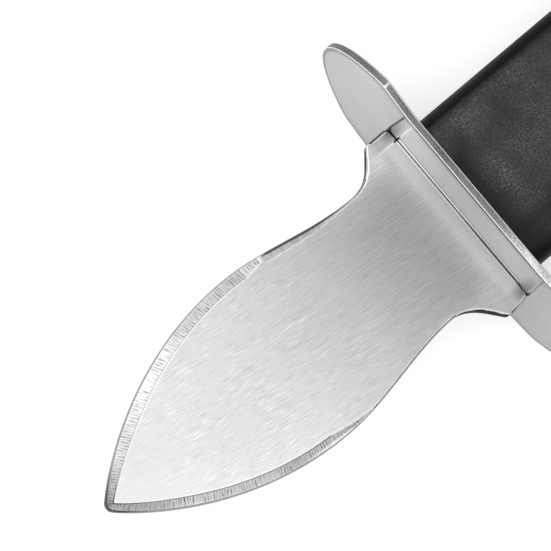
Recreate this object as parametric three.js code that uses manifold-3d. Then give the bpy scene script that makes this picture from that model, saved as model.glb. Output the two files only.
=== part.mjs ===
import * as THREE from 'three';
import { mergeVertices } from 'three/addons/utils/BufferGeometryUtils.js';
import Module from 'manifold-3d';

// Oyster knife: a flat leaf blade with a full tang, an oval hand guard and two riveted handle scales.
// Millimetres. The knife lies on its side: +X from butt to tip, +Y across the blade, +Z up.

// Blade and tang, one flat steel stamping
const BLADE_LENGTH = 62.3;          // guard face to tip
const BLADE_THICKNESS = 2.5;
const BLADE_WIDTH = 25.65;          // at the widest point of the leaf
const WIDEST_FROM_TIP = 31.6;
const TIP_RADIUS = 1.1;
const TIP_HALF_ANGLE = THREE.MathUtils.degToRad(46);
const LEAF_TIP_PULL = 2.4;          // how far the leaf's side keeps the direction it has at the tip
const LEAF_WIDEST_PULL = 17.5;      // and how far it runs level before the widest point
const WAIST_WIDTH = 20.3;
const WAIST_RADIUS = 5.8;
const EAR_PROJECTION = 2.1;         // how far each ear stands out past the tang
const EAR_LENGTH = 3.5;             // guard face to the ear's front corner
const EAR_FLANK_ANGLE = THREE.MathUtils.degToRad(50);
const EAR_CORNER_RADIUS = 0.8;
const ROOT_RELIEF_WIDTH = 0.35;     // slot between ear and tang, so that the ear seats square on the guard
const ROOT_RELIEF_DEPTH = 0.7;
const BEVEL_WIDTH = 1.4;            // ground edge, measured across the face
const BEVEL_LENGTH = 37.6;          // from the tip to where the ground edge has run out
const BEVEL_RUNOUT = 1.6;
const EDGE_LAND = 0.7;              // blunt edge left by the grinding
const EDGE_BREAK = 0.12;            // deburred corner on every other edge of the stamping

// Guard, an oval plate with two flats and its ends bent back
const GUARD_LENGTH = 54.5;          // before the ends are bent
const GUARD_WIDTH = 19;             // across the flats
const GUARD_FLAT_LENGTH = 37.5;
const GUARD_THICKNESS = 1.2;
const GUARD_EDGE_BREAK = 0.2;
const GUARD_END_LEAN = THREE.MathUtils.degToRad(3.8);   // how far each end leans back towards the handle
const SLOT_CLEARANCE = 0.2;         // round the tang, on each side

// Handle, two scales with the tang's outline
const HANDLE_LENGTH = 100;          // back of the guard to the butt
const HANDLE_WIDTH = 24.2;
const HANDLE_THICKNESS = 18;        // tang and both scales
const GRIP_STRAIGHT = 26;           // parallel part behind the guard
const GRIP_WAIST_WIDTH = 21.6;
const BUTT_LENGTH = 16;             // half ellipse that ends the handle
const SCALE_ROUND_WIDTH = 3;        // rounded long edge, seen from above
const SCALE_ROUND_HEIGHT = 4;       // and seen from the end

// Cutlery rivets, each a tubular half and a solid half
const RIVET_FRONT_INSET = 20;       // from the back of the guard
const RIVET_REAR_INSET = 20;        // from the butt
const RIVET_HEAD_DIAMETER = 6.5;
const RIVET_HEAD_THICKNESS = 1.5;
const RIVET_SHANK_DIAMETER = 4.6;
const RIVET_PIN_DIAMETER = 3;
const RIVET_HOLE_CLEARANCE = 0.1;   // radial, in the scales and the tang
const RIVET_PIN_CLEARANCE = 0.04;   // radial, of the pin in its tube
const RIVET_END_GAP = 1;            // from the end of pin and tube to the other half's head
const RIVET_EDGE_BREAK = 0.2;

// Facets
const LEAF_STEPS = 22;
const CURVE_STEPS = 12;
const CORNER_STEPS = 5;
const BUTT_STEPS = 12;
const GUARD_END_STEPS = 22;
const ROUND_STEPS = 6;
const RIVET_SIDES = 24;

const CUT_MARGIN = 1;               // how far a cutting block stands past what it cuts
const CENTRE_SHARE = 0.85;          // the ground edge stays short of the blade's centre line

const handleBack = -GUARD_THICKNESS - HANDLE_LENGTH;
const tangHalf = HANDLE_WIDTH / 2;
const tangFace = BLADE_THICKNESS / 2;
const gripFace = HANDLE_THICKNESS / 2;
const headSeat = gripFace - RIVET_HEAD_THICKNESS;

const wasm = await Module();
wasm.setup();

// A geometry as a solid that can be joined and cut, and back again.
function solidOf(geometry) {
  const bare = geometry.clone();
  bare.deleteAttribute('normal');
  bare.deleteAttribute('uv');
  const merged = mergeVertices(bare);
  return new wasm.Manifold(new wasm.Mesh({
    numProp: 3,
    vertProperties: new Float32Array(merged.attributes.position.array),
    triVerts: new Uint32Array(merged.index.array),
  }));
}

function geometryOf(solid) {
  const mesh = solid.getMesh();
  const geometry = new THREE.BufferGeometry();
  geometry.setAttribute('position', new THREE.BufferAttribute(mesh.vertProperties, 3));
  geometry.setIndex(new THREE.BufferAttribute(mesh.triVerts, 1));
  geometry.computeVertexNormals();
  return geometry;
}

// Points of a circular arc, the angles measured from +X.
function arcPoints(centreX, centreY, radius, startAngle, endAngle, steps) {
  const clockwise = endAngle < startAngle;
  const arc = new THREE.EllipseCurve(centreX, centreY, radius, radius, startAngle, endAngle, clockwise);
  return arc.getPoints(steps);
}

// A side line that leaves one half width level and arrives level at another.
function easedSide(startX, startY, endX, endY, steps) {
  const points = [];
  for (let i = 0; i <= steps; i += 1) {
    const t = i / steps;
    points.push(new THREE.Vector2(
      THREE.MathUtils.lerp(startX, endX, t),
      THREE.MathUtils.lerp(startY, endY, THREE.MathUtils.smoothstep(t, 0, 1)),
    ));
  }
  return points;
}

// Upper half of the leaf, from the tip to its widest point.
function leafSide() {
  const half = BLADE_WIDTH / 2;
  const widestX = BLADE_LENGTH - WIDEST_FROM_TIP;
  const tipCentre = BLADE_LENGTH - TIP_RADIUS;
  const tipEnd = Math.PI / 2 - TIP_HALF_ANGLE;
  const tip = arcPoints(tipCentre, 0, TIP_RADIUS, 0, tipEnd, CORNER_STEPS);
  const start = tip[tip.length - 1];
  const side = new THREE.CubicBezierCurve(
    start,
    new THREE.Vector2(
      start.x - LEAF_TIP_PULL * Math.cos(TIP_HALF_ANGLE),
      start.y + LEAF_TIP_PULL * Math.sin(TIP_HALF_ANGLE),
    ),
    new THREE.Vector2(widestX + LEAF_WIDEST_PULL, half),
    new THREE.Vector2(widestX, half),
  );
  return [...tip, ...side.getPoints(LEAF_STEPS).slice(1)];
}

// Upper half of the blade's neck: waist, flank of the ear, ear and the relief beside the tang.
function neckSide() {
  const waist = WAIST_WIDTH / 2;
  const ear = tangHalf + EAR_PROJECTION;
  const turn = 1 - Math.cos(EAR_FLANK_ANGLE);
  const radius = Math.min(WAIST_RADIUS, (ear - waist) / turn);
  const flankRun = (ear - waist - radius * turn) / Math.tan(EAR_FLANK_ANGLE);
  const waistX = EAR_LENGTH + flankRun + radius * Math.sin(EAR_FLANK_ANGLE);
  const quarter = Math.PI / 2;
  const frontCentre = EAR_LENGTH - EAR_CORNER_RADIUS * Math.tan(EAR_FLANK_ANGLE / 2);
  const cornerY = ear - EAR_CORNER_RADIUS;
  const reliefRadius = ROOT_RELIEF_WIDTH / 2;
  const reliefCentre = ROOT_RELIEF_DEPTH - reliefRadius;
  const reliefY = tangHalf + reliefRadius;
  return {
    waistX,
    front: [
      ...arcPoints(waistX, waist + radius, radius, -quarter, -quarter - EAR_FLANK_ANGLE, CURVE_STEPS),
      ...arcPoints(frontCentre, cornerY, EAR_CORNER_RADIUS, quarter - EAR_FLANK_ANGLE, quarter, CORNER_STEPS),
    ],
    rear: [
      ...arcPoints(EAR_CORNER_RADIUS, cornerY, EAR_CORNER_RADIUS, quarter, Math.PI, CORNER_STEPS),
      new THREE.Vector2(0, reliefY + reliefRadius),
      ...arcPoints(reliefCentre, reliefY, reliefRadius, quarter, -quarter, CORNER_STEPS),
    ],
  };
}

// Upper half of the handle's outline, from frontX to the butt: parallel, drawn in, full again, round end.
function gripSide(frontX) {
  const straightEnd = -GUARD_THICKNESS - GRIP_STRAIGHT;
  const swellX = handleBack + BUTT_LENGTH;
  const waistX = (straightEnd + swellX) / 2;
  const waist = GRIP_WAIST_WIDTH / 2;
  const butt = new THREE.EllipseCurve(swellX, 0, BUTT_LENGTH, tangHalf, Math.PI / 2, Math.PI);
  return [
    new THREE.Vector2(frontX, tangHalf),
    ...easedSide(straightEnd, tangHalf, waistX, waist, CURVE_STEPS),
    ...easedSide(waistX, waist, swellX, tangHalf, CURVE_STEPS).slice(1),
    ...butt.getPoints(BUTT_STEPS).slice(1),
  ];
}

// The other half of a side that starts and ends on the centre line, as one closed outline.
function mirrored(side) {
  const back = side.slice(1, -1).reverse();
  return [...side, ...back.map((point) => new THREE.Vector2(point.x, -point.y))];
}

// How much of the ground edge is there: all of it on the leaf, none behind the run-out.
function bevelShare(x) {
  const runoutEnd = BLADE_LENGTH - BEVEL_LENGTH;
  return THREE.MathUtils.clamp((x - runoutEnd) / BEVEL_RUNOUT, 0, 1);
}

// A flat plate whose edge is ground from both faces. Its outline is a side and its mirror image. The faces
// are closed in two fields that meet at the point numbered seam, so that blade and tang stay apart.
function groundPlate(side, seam) {
  const outline = mirrored(side);
  const count = outline.length;
  const positions = new Float32Array(count * 4 * 3);
  const grindDepth = (BLADE_THICKNESS - EDGE_LAND) / 2;
  const face = [];
  outline.forEach((point, i) => {
    const before = outline[(i + count - 1) % count];
    const after = outline[(i + 1) % count];
    const along = after.clone().sub(before).normalize();
    const inward = new THREE.Vector2(-along.y, along.x);
    const share = bevelShare(point.x);
    const onCentre = Math.abs(inward.y) < 1e-6;
    const room = CENTRE_SHARE * (onCentre ? TIP_RADIUS : Math.abs(point.y / inward.y));
    const width = Math.min(THREE.MathUtils.lerp(EDGE_BREAK, BEVEL_WIDTH, share), room);
    const depth = THREE.MathUtils.lerp(EDGE_BREAK, grindDepth, share);
    const inner = point.clone().addScaledVector(inward, width);
    face.push(inner);
    const rings = [
      [point, depth - tangFace],
      [point, tangFace - depth],
      [inner, tangFace],
      [inner, -tangFace],
    ];
    rings.forEach(([at, z], ring) => positions.set([at.x, at.y, z], (ring * count + i) * 3));
  });
  const triangles = [];
  for (const [low, high] of [[0, 1], [1, 2], [3, 0]]) {
    for (let i = 0; i < count; i += 1) {
      const j = (i + 1) % count;
      triangles.push(low * count + i, low * count + j, high * count + j);
      triangles.push(low * count + i, high * count + j, high * count + i);
    }
  }
  const everyPoint = outline.map((_, i) => i);
  const fields = [
    [...everyPoint.slice(count - seam), ...everyPoint.slice(0, seam + 1)],
    everyPoint.slice(seam, count - seam + 1),
  ];
  for (const field of fields) {
    const corners = THREE.ShapeUtils.triangulateShape(field.map((i) => face[i]), []);
    for (const [a, b, c] of corners) {
      triangles.push(2 * count + field[a], 2 * count + field[b], 2 * count + field[c]);
      triangles.push(3 * count + field[a], 3 * count + field[c], 3 * count + field[b]);
    }
  }
  const geometry = new THREE.BufferGeometry();
  geometry.setAttribute('position', new THREE.BufferAttribute(positions, 3));
  geometry.setIndex(triangles);
  return geometry;
}

// Round bar along Z between two heights, for drilling.
function drill(x, diameter, low, high) {
  const bar = new THREE.CylinderGeometry(diameter / 2, diameter / 2, high - low, RIVET_SIDES);
  bar.rotateX(Math.PI / 2);
  bar.translate(x, 0, (low + high) / 2);
  return solidOf(bar);
}

function rivetPlaces() {
  const front = -GUARD_THICKNESS - RIVET_FRONT_INSET;
  const rear = handleBack + RIVET_REAR_INSET;
  return { front, middle: (front + rear) / 2, rear };
}

const shankHole = RIVET_SHANK_DIAMETER + 2 * RIVET_HOLE_CLEARANCE;
const headHole = RIVET_HEAD_DIAMETER + 2 * RIVET_HOLE_CLEARANCE;

function bladeGeometry() {
  const leaf = leafSide();
  const neck = neckSide();
  const widest = leaf[leaf.length - 1];
  const shoulder = easedSide(widest.x, widest.y, neck.waistX, WAIST_WIDTH / 2, 2 * CURVE_STEPS);
  const front = [...leaf, ...shoulder.slice(1, -1), ...neck.front];
  const side = [...front, ...neck.rear, ...gripSide(-GUARD_THICKNESS).slice(1)];
  let solid = solidOf(groundPlate(side, front.length - 1));
  for (const x of Object.values(rivetPlaces())) {
    solid = solid.subtract(drill(x, shankHole, -BLADE_THICKNESS, BLADE_THICKNESS));
  }
  return geometryOf(solid);
}

// One end of the guard bent back, along a line on its front face at the middle of the ear's seat.
function bentEnd(plate, side) {
  const bendY = tangHalf + EAR_PROJECTION / 2;
  const rest = plate.trimByPlane([0, -side, 0], -bendY);
  const end = plate.trimByPlane([0, side, 0], bendY);
  const bent = end
    .translate([0, -side * bendY, 0])
    .rotate([0, 0, side * THREE.MathUtils.radToDeg(GUARD_END_LEAN)])
    .translate([0, side * bendY, 0]);
  return rest.add(bent);
}

function guardGeometry() {
  const halfLength = GUARD_LENGTH / 2;
  const halfWidth = GUARD_WIDTH / 2;
  const flatShare = GUARD_FLAT_LENGTH / GUARD_LENGTH;
  const flatAngle = Math.acos(flatShare);
  const ovalHalf = halfWidth / Math.sin(flatAngle);
  const shape = new THREE.Shape();
  shape.absellipse(0, 0, halfLength, ovalHalf, -flatAngle, flatAngle, false);
  shape.absellipse(0, 0, halfLength, ovalHalf, Math.PI - flatAngle, Math.PI + flatAngle, false);
  const slotHalf = tangHalf + SLOT_CLEARANCE;
  const slotRise = tangFace + SLOT_CLEARANCE;
  shape.holes.push(new THREE.Path([
    new THREE.Vector2(-slotHalf, -slotRise),
    new THREE.Vector2(-slotHalf, slotRise),
    new THREE.Vector2(slotHalf, slotRise),
    new THREE.Vector2(slotHalf, -slotRise),
  ]));
  const plate = new THREE.ExtrudeGeometry(shape, {
    depth: GUARD_THICKNESS - 2 * GUARD_EDGE_BREAK,
    curveSegments: GUARD_END_STEPS,
    bevelThickness: GUARD_EDGE_BREAK,
    bevelSize: GUARD_EDGE_BREAK,
    bevelOffset: -GUARD_EDGE_BREAK,
    bevelSegments: 1,
  });
  plate.translate(0, 0, GUARD_EDGE_BREAK - GUARD_THICKNESS);
  const axes = new THREE.Matrix4().makeBasis(
    new THREE.Vector3(0, 1, 0),
    new THREE.Vector3(0, 0, 1),
    new THREE.Vector3(1, 0, 0),
  );
  plate.applyMatrix4(axes);
  return geometryOf(bentEnd(bentEnd(solidOf(plate), 1), -1));
}

// One scale: the rounded handle block, cut square at the guard and flat on the tang, drilled for the rivets.
function scaleGeometry(upper) {
  const frontX = SCALE_ROUND_WIDTH + CUT_MARGIN;
  const grip = mirrored([new THREE.Vector2(frontX, 0), ...gripSide(frontX)]);
  const straight = HANDLE_THICKNESS - 2 * SCALE_ROUND_HEIGHT;
  const block = new THREE.ExtrudeGeometry(new THREE.Shape(grip), {
    depth: straight,
    bevelThickness: SCALE_ROUND_HEIGHT,
    bevelSize: SCALE_ROUND_WIDTH,
    bevelOffset: -SCALE_ROUND_WIDTH,
    bevelSegments: ROUND_STEPS,
  });
  block.translate(0, 0, -straight / 2);
  const cutHeight = gripFace + CUT_MARGIN - tangFace;
  const cutLength = HANDLE_LENGTH + CUT_MARGIN;
  const half = new THREE.BoxGeometry(cutLength, HANDLE_WIDTH + 2 * CUT_MARGIN, cutHeight);
  const sign = upper ? 1 : -1;
  half.translate(-GUARD_THICKNESS - cutLength / 2, 0, sign * (tangFace + cutHeight / 2));
  let solid = solidOf(block).intersect(solidOf(half));
  const faceCut = gripFace + CUT_MARGIN;
  for (const x of Object.values(rivetPlaces())) {
    const seat = upper ? drill(x, headHole, headSeat, faceCut) : drill(x, headHole, -faceCut, -headSeat);
    solid = solid.subtract(drill(x, shankHole, -faceCut, faceCut)).subtract(seat);
  }
  return geometryOf(solid);
}

function turned(profile) {
  const points = profile.map(([radius, height]) => new THREE.Vector2(radius, height));
  const geometry = new THREE.LatheGeometry(points, RIVET_SIDES);
  geometry.rotateX(Math.PI / 2);
  return geometry;
}

// Tubular half: its head lies in the upper scale, its tube reaches down to the lower head.
function rivetTubeGeometry() {
  const head = RIVET_HEAD_DIAMETER / 2;
  const shank = RIVET_SHANK_DIAMETER / 2;
  const bore = RIVET_PIN_DIAMETER / 2 + RIVET_PIN_CLEARANCE;
  const tubeEnd = RIVET_END_GAP - headSeat;
  return turned([
    [0, headSeat],
    [bore, headSeat],
    [bore, tubeEnd],
    [shank, tubeEnd],
    [shank, headSeat],
    [head, headSeat],
    [head, gripFace - RIVET_EDGE_BREAK],
    [head - RIVET_EDGE_BREAK, gripFace],
    [0, gripFace],
  ]);
}

// Solid half: its head lies in the lower scale, its pin goes up into the tube.
function rivetPinGeometry() {
  const head = RIVET_HEAD_DIAMETER / 2;
  const pin = RIVET_PIN_DIAMETER / 2;
  const pinEnd = headSeat - RIVET_END_GAP;
  return turned([
    [0, -gripFace],
    [head - RIVET_EDGE_BREAK, -gripFace],
    [head, RIVET_EDGE_BREAK - gripFace],
    [head, -headSeat],
    [pin, -headSeat],
    [pin, pinEnd],
    [0, pinEnd],
  ]);
}

function brushedSteel() {
  return new THREE.MeshStandardMaterial({ color: 0xd2d2d3, roughness: 0.38, metalness: 1 });
}

function polishedSteel() {
  return new THREE.MeshStandardMaterial({ color: 0xc9c9ca, roughness: 0.18, metalness: 1 });
}

function blackPlastic() {
  return new THREE.MeshStandardMaterial({ color: 0x262627, roughness: 0.55, metalness: 0 });
}

function rivetSteel() {
  return new THREE.MeshStandardMaterial({ color: 0xbdbdbe, roughness: 0.3, metalness: 1 });
}

function piece(name, geometry, material) {
  const mesh = new THREE.Mesh(geometry, material);
  mesh.name = name;
  return mesh;
}

// The knife is drawn from the guard face on its centre line, and set down on its lowest side.
const knife = new THREE.Group();
const lowest = Math.max(GUARD_WIDTH, HANDLE_THICKNESS) / 2;
knife.position.set(-(BLADE_LENGTH + handleBack) / 2, 0, lowest);
knife.add(
  piece('blade', bladeGeometry(), brushedSteel()),
  piece('guard', guardGeometry(), polishedSteel()),
  piece('upper_scale', scaleGeometry(true), blackPlastic()),
  piece('lower_scale', scaleGeometry(false), blackPlastic()),
);
for (const [place, x] of Object.entries(rivetPlaces())) {
  const tube = piece(`rivet_tube_${place}`, rivetTubeGeometry(), rivetSteel());
  const pin = piece(`rivet_pin_${place}`, rivetPinGeometry(), rivetSteel());
  tube.position.x = x;
  pin.position.x = x;
  knife.add(tube, pin);
}

const oysterKnife = new THREE.Group();
oysterKnife.add(knife);

export default oysterKnife;
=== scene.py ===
import bpy
import numpy as np
from mathutils import Matrix, Vector
from mathutils.geometry import tessellate_polygon


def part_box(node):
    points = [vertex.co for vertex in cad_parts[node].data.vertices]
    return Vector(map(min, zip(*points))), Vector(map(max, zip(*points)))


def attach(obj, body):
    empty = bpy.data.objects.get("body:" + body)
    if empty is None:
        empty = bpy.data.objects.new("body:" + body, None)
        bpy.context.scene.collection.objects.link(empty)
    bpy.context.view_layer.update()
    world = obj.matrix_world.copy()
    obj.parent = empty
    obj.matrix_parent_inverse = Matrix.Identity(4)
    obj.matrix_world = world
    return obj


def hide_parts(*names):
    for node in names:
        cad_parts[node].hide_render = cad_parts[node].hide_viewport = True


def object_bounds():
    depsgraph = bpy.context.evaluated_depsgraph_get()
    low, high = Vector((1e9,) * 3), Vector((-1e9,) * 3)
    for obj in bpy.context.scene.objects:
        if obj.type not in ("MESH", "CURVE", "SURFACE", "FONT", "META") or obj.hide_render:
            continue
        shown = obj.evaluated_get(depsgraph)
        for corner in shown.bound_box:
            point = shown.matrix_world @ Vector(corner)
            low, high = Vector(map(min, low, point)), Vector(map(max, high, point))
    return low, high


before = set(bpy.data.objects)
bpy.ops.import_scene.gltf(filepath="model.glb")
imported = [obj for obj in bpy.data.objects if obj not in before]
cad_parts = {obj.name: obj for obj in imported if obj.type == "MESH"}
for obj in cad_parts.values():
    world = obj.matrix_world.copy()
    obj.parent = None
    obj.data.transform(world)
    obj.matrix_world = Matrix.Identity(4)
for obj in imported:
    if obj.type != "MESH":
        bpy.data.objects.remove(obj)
cad_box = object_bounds()


# Blade and tang
# One stamping of stainless sheet, brushed lengthwise, with the leaf's edges ground from both faces. Two ears
# seat on the front of the guard, and the tang behind them runs the whole length of the handle.

blade_low, blade_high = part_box("blade")
guard_low, guard_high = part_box("guard")
tip_x = blade_high.x
seat_x = guard_high.x
guard_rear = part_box("upper_scale")[1].x
middle_z = (blade_low.z + blade_high.z) / 2
sheet_half = (blade_high.z - blade_low.z) / 2
tang_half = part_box("upper_scale")[1].y
ear_half = blade_high.y

widest_from_tip = 0.0316
leaf_half = 0.012825
tip_radius = 0.0011
tip_half_angle = np.radians(46)
tip_pull = 0.0024
widest_pull = 0.0175
waist_half = 0.01015
waist_radius = 0.0058
ear_length = 0.0035
ear_flank_angle = np.radians(50)
ear_corner = 0.0008
ear_rear_corner = 0.0006
relief_width = 0.00014
relief_depth = 0.00055
near_relief_share = 0.3
near_ear_fullness = 0.00040
fullness_start = 0.0016
fullness_fade = 0.005
ear_coin_slope = 0.12
ear_shade_length = 0.0022
fold_line_length = 0.0062

edge_land = 0.0007
edge_round = 0.00022
shoulder_round = 0.00085
worn_width = 0.00045
worn_narrows = 0.0470
worn_end = 0.0525
worn_close = 0.0080
worn_ripple = 0.00006
long_ripple = 0.00031
short_ripple = 0.00013
short_ripple_share = 0.7
ear_rear_round = 0.00019
ear_outer_round = 0.00026
relief_round = 0.00004
flank_round = 0.00008
far_flank_taper = 0.00015
near_flank_taper = 0.00004
far_flank_easing = 3.0
near_flank_easing = 0.4
taper_points = 14
outer_edge_points = 4
waist_line_share = 0.6
round_turn = np.radians([0, 30, 60, 90])
micro_width = 0.00016
micro_drop = 0.00022
far_step_width = 0.00008
near_step_width = 0.00015
step_drop = 0.00008
edge_rows = np.array([-5.0, -4.0, -3.0, -2.0, -1.0, 1.0, 2.0, 3.0, 4.0, 5.0])
stroke_turn = np.radians(-6.5)
long_stroke = (0.0030, 0.00017, 0.0010)
short_stroke = (0.0018, 0.00014, 0.0010)
stray_stroke = (0.0017, 0.00015, 0.0010)
calm_patch = (0.0040, 0.0026, 0.0030)
brushed_cloud = (0.016, 0.020, 0.025)
leaf_strokes_start = 0.016
leaf_strokes_full = 0.023
calm_tip_start = 0.020
calm_tip_full = 0.008
neck_dark_end = 0.0085
neck_light_start = 0.0195
tip_bevel = 0.00090
bevel_growth = 0.012
far_bevel = 0.00160
far_bevel_end = 0.0379
far_bevel_runout = 0.0003
far_bevel_narrowing = 0.0034
far_bevel_last_share = 0.40
near_bevel = 0.00136
near_bevel_end = 0.0360
near_bevel_runout = 0.0068
crest_width = 0.00016
mark_pitch = 0.00040
mark_size = (0.00024, 0.9, 1.0)
mark_drift = (0.0030, 3.0, 1.0)
mark_stray = (0.0008, 2.0, 1.0)
dark_stretch = 0.0245
edge_streak = (0.00032, 1.5, 1.0)
wall_streak = (0.00030, 1.2, 1.0)
wall_drift = (0.0022, 4.0, 1.0)
rub_size = (0.0007, 0.0007, 0.0007)

grip_straight = 0.026
grip_waist_half = 0.0108
butt_length = 0.016
rivet_hole_radius = 0.0024
rivet_hole_steps = 48
tip_steps = 9
leaf_steps = 180
shoulder_steps = 120
waist_steps = 26
corner_steps = 8
relief_steps = 9
grip_steps = 24
butt_steps = 33
crease_angle = np.radians(24)
noise_low = 0.3
noise_high = 0.7
narrow_blend = 0.0002
side_blend = 0.002
wide_blend = 0.004


def arc(centre, radius, start, end, count):
    """Points of a circle: centre + radius (cos a, sin a), the angle a running evenly from start to end."""
    a = np.linspace(start, end, count)
    return np.stack([centre[0] + radius * np.cos(a), centre[1] + radius * np.sin(a)], axis=1)


def bezier(start, start_pull, end_pull, end, count):
    """Points of the cubic Bezier curve with these four control points."""
    t = np.linspace(0, 1, count)[:, None]
    corners = np.array([start, start_pull, end_pull, end])
    weights = np.hstack([(1 - t) ** 3, 3 * t * (1 - t) ** 2, 3 * t * t * (1 - t), t**3])
    return weights @ corners


def eased(start, end, count):
    """A line that leaves start and reaches end level: x runs evenly, y follows t t (3 - 2 t)."""
    t = np.linspace(0, 1, count)
    rise = t * t * (3 - 2 * t)
    return np.stack([start[0] + (end[0] - start[0]) * t, start[1] + (end[1] - start[1]) * rise], axis=1)


def grip_side(front_x):
    """Half of the handle's outline: parallel, drawn in and full again by eased lines, then a half ellipse."""
    back_x = blade_low.x
    straight_x = guard_rear - grip_straight
    swell_x = back_x + butt_length
    waist_x = (straight_x + swell_x) / 2
    a = np.linspace(np.pi / 2, np.pi, butt_steps)
    butt = np.stack([swell_x + butt_length * np.cos(a), tang_half * np.sin(a)], axis=1)
    drawn_in = eased((straight_x, tang_half), (waist_x, grip_waist_half), grip_steps)
    full_again = eased((waist_x, grip_waist_half), (swell_x, tang_half), grip_steps)
    return np.concatenate([[(front_x, tang_half)], drawn_in, full_again[1:], butt[1:]])


def inward(outline, closed=True):
    """Unit normals to the left of a path: the unit steps at each point, added and turned a quarter."""
    step = np.roll(outline, -1, axis=0) - outline
    step /= np.linalg.norm(step, axis=1)[:, None]
    before = np.roll(step, 1, axis=0)
    if not closed:
        step[-1] = step[-2]
        before[0] = step[0]
    along = step + before
    along /= np.linalg.norm(along, axis=1)[:, None]
    return np.stack([-along[:, 1], along[:, 0]], axis=1)


def lengths(outline):
    """Distance along a closed path at each point, and once more for the first one at the end."""
    steps = np.linalg.norm(np.roll(outline, -1, axis=0) - outline, axis=1)
    return np.concatenate([[0], np.cumsum(steps)])


def between(rows, along, across, closed=True):
    """Four-cornered faces between rows of point numbers, with the map (along, across) at their corners."""
    following = np.roll(rows, -1, axis=1)
    faces = np.stack([rows[:-1], following[:-1], following[1:], rows[1:]], axis=2)
    start, end = np.broadcast_arrays(along[None, :-1], along[None, 1:])
    low, high = across[:-1, None], across[1:, None]
    corners = [(start, low), (end, low), (end, high), (start, high)]
    flat = [np.stack(np.broadcast_arrays(u, v), axis=2) for u, v in corners]
    maps = np.stack(flat, axis=2)
    if not closed:
        faces = faces[:, :-1]
        maps = maps[:, : faces.shape[1]]
    return faces, maps


def filled(loops, points, facing):
    """Triangles that fill the first loop of point numbers less the others, turned to face along facing."""
    corners = np.array(tessellate_polygon([points[loop].tolist() for loop in loops]))
    faces = np.concatenate(loops)[corners]
    a, b, c = points[faces].transpose(1, 0, 2)
    wrong = np.cross(b - a, c - a) @ np.array(facing) < 0
    faces[wrong] = faces[wrong][:, ::-1]
    return faces


def put_piece(name, points, fields, materials):
    """A mesh object of fields, each of them (faces, map at their corners, material number, smooth)."""
    mesh = bpy.data.meshes.new(name)
    faces = [field[0].reshape(-1, field[0].shape[-1]) for field in fields]
    mesh.from_pydata(points.tolist(), [], [face for part in faces for face in part.tolist()])
    counts = [len(part) for part in faces]
    mesh.polygons.foreach_set("material_index", np.repeat([field[2] for field in fields], counts))
    mesh.polygons.foreach_set("use_smooth", np.repeat([field[3] for field in fields], counts))
    layer = mesh.uv_layers.new(name="surface")
    layer.data.foreach_set("uv", np.concatenate([field[1].ravel() for field in fields]))
    mesh.set_sharp_from_angle(angle=crease_angle)
    for material in materials:
        mesh.materials.append(material)
    piece = bpy.data.objects.new(name, mesh)
    bpy.context.scene.collection.objects.link(piece)
    return piece


def add_node(tree, kind, values, **settings):
    """A new node; a value that is another node's output is linked, and any other is set."""
    made = tree.nodes.new(kind)
    for name, value in settings.items():
        setattr(made, name, value)
    for name, value in values.items():
        if isinstance(value, bpy.types.NodeSocket):
            tree.links.new(value, made.inputs[name])
        else:
            made.inputs[name].default_value = value
    return made


def start_material(name, values):
    """A node material with one Principled shader and these values on its sockets."""
    material = bpy.data.materials.new(name)
    material.use_nodes = True
    shader = material.node_tree.nodes["Principled BSDF"]
    for socket, value in values.items():
        shader.inputs[socket].default_value = value
    return material, material.node_tree, shader


def place(tree, source):
    """Coordinates of the surface: Object in metres, or UV for the map laid along a piece."""
    return add_node(tree, "ShaderNodeTexCoord", {}).outputs[source]


def grain(tree, coordinates, cell, detail=2.0, roughness=0.55, turn=0.0):
    """Noise from 0 to 1 in cells of this size along each axis, turned about Z."""
    values = {"Vector": coordinates, "Rotation": (0, 0, turn), "Scale": cell}
    laid = add_node(tree, "ShaderNodeMapping", values, vector_type="TEXTURE")
    values = {"Vector": laid.outputs["Vector"], "Scale": 1.0, "Detail": detail, "Roughness": roughness}
    return add_node(tree, "ShaderNodeTexNoise", values).outputs["Fac"]


def parts(tree, coordinates):
    """The three separate values of a coordinate."""
    return add_node(tree, "ShaderNodeSeparateXYZ", {"Vector": coordinates}).outputs


def size_of(tree, value):
    """A value without its sign."""
    return add_node(tree, "ShaderNodeMath", {0: value}, operation="ABSOLUTE").outputs["Value"]


def ranged(tree, value, low, high, to_low, to_high):
    """A value between low and high carried over to the range from to_low to to_high."""
    values = {"Value": value, "From Min": low, "From Max": high, "To Min": to_low, "To Max": to_high}
    return add_node(tree, "ShaderNodeMapRange", values).outputs["Result"]


def varied(tree, noise, low, high):
    """Noise carried over to the range from low to high, which its usual spread fills."""
    return ranged(tree, noise, noise_low, noise_high, low, high)


def by_side(tree, across, blend, far_value, near_value):
    """One value on the far side and another on the near one, blended as far as this from the middle."""
    return ranged(tree, across, -blend, blend, far_value, near_value)


def joined(tree, operation, first, second):
    """Two values joined by one operation of the Math node."""
    return add_node(tree, "ShaderNodeMath", {0: first, 1: second}, operation=operation).outputs["Value"]


def times(tree, first, second):
    """The product of two values."""
    return joined(tree, "MULTIPLY", first, second)


def plus(tree, first, second):
    """The sum of two values."""
    return joined(tree, "ADD", first, second)


def less(tree, first, second):
    """The first value less the second."""
    return joined(tree, "SUBTRACT", first, second)


def relief(tree, shader, height, strength, depth):
    """Fine relief of this depth in metres on the shader's normal."""
    bump = add_node(tree, "ShaderNodeBump", {"Height": height, "Strength": strength, "Distance": depth})
    tree.links.new(bump.outputs["Normal"], shader.inputs["Normal"])


def set_finish(tree, shader, tone, roughness):
    """A grey tone linked to the shader's colour, and a second value to its roughness."""
    tree.links.new(tone, shader.inputs["Base Color"])
    tree.links.new(roughness, shader.inputs["Roughness"])


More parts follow.
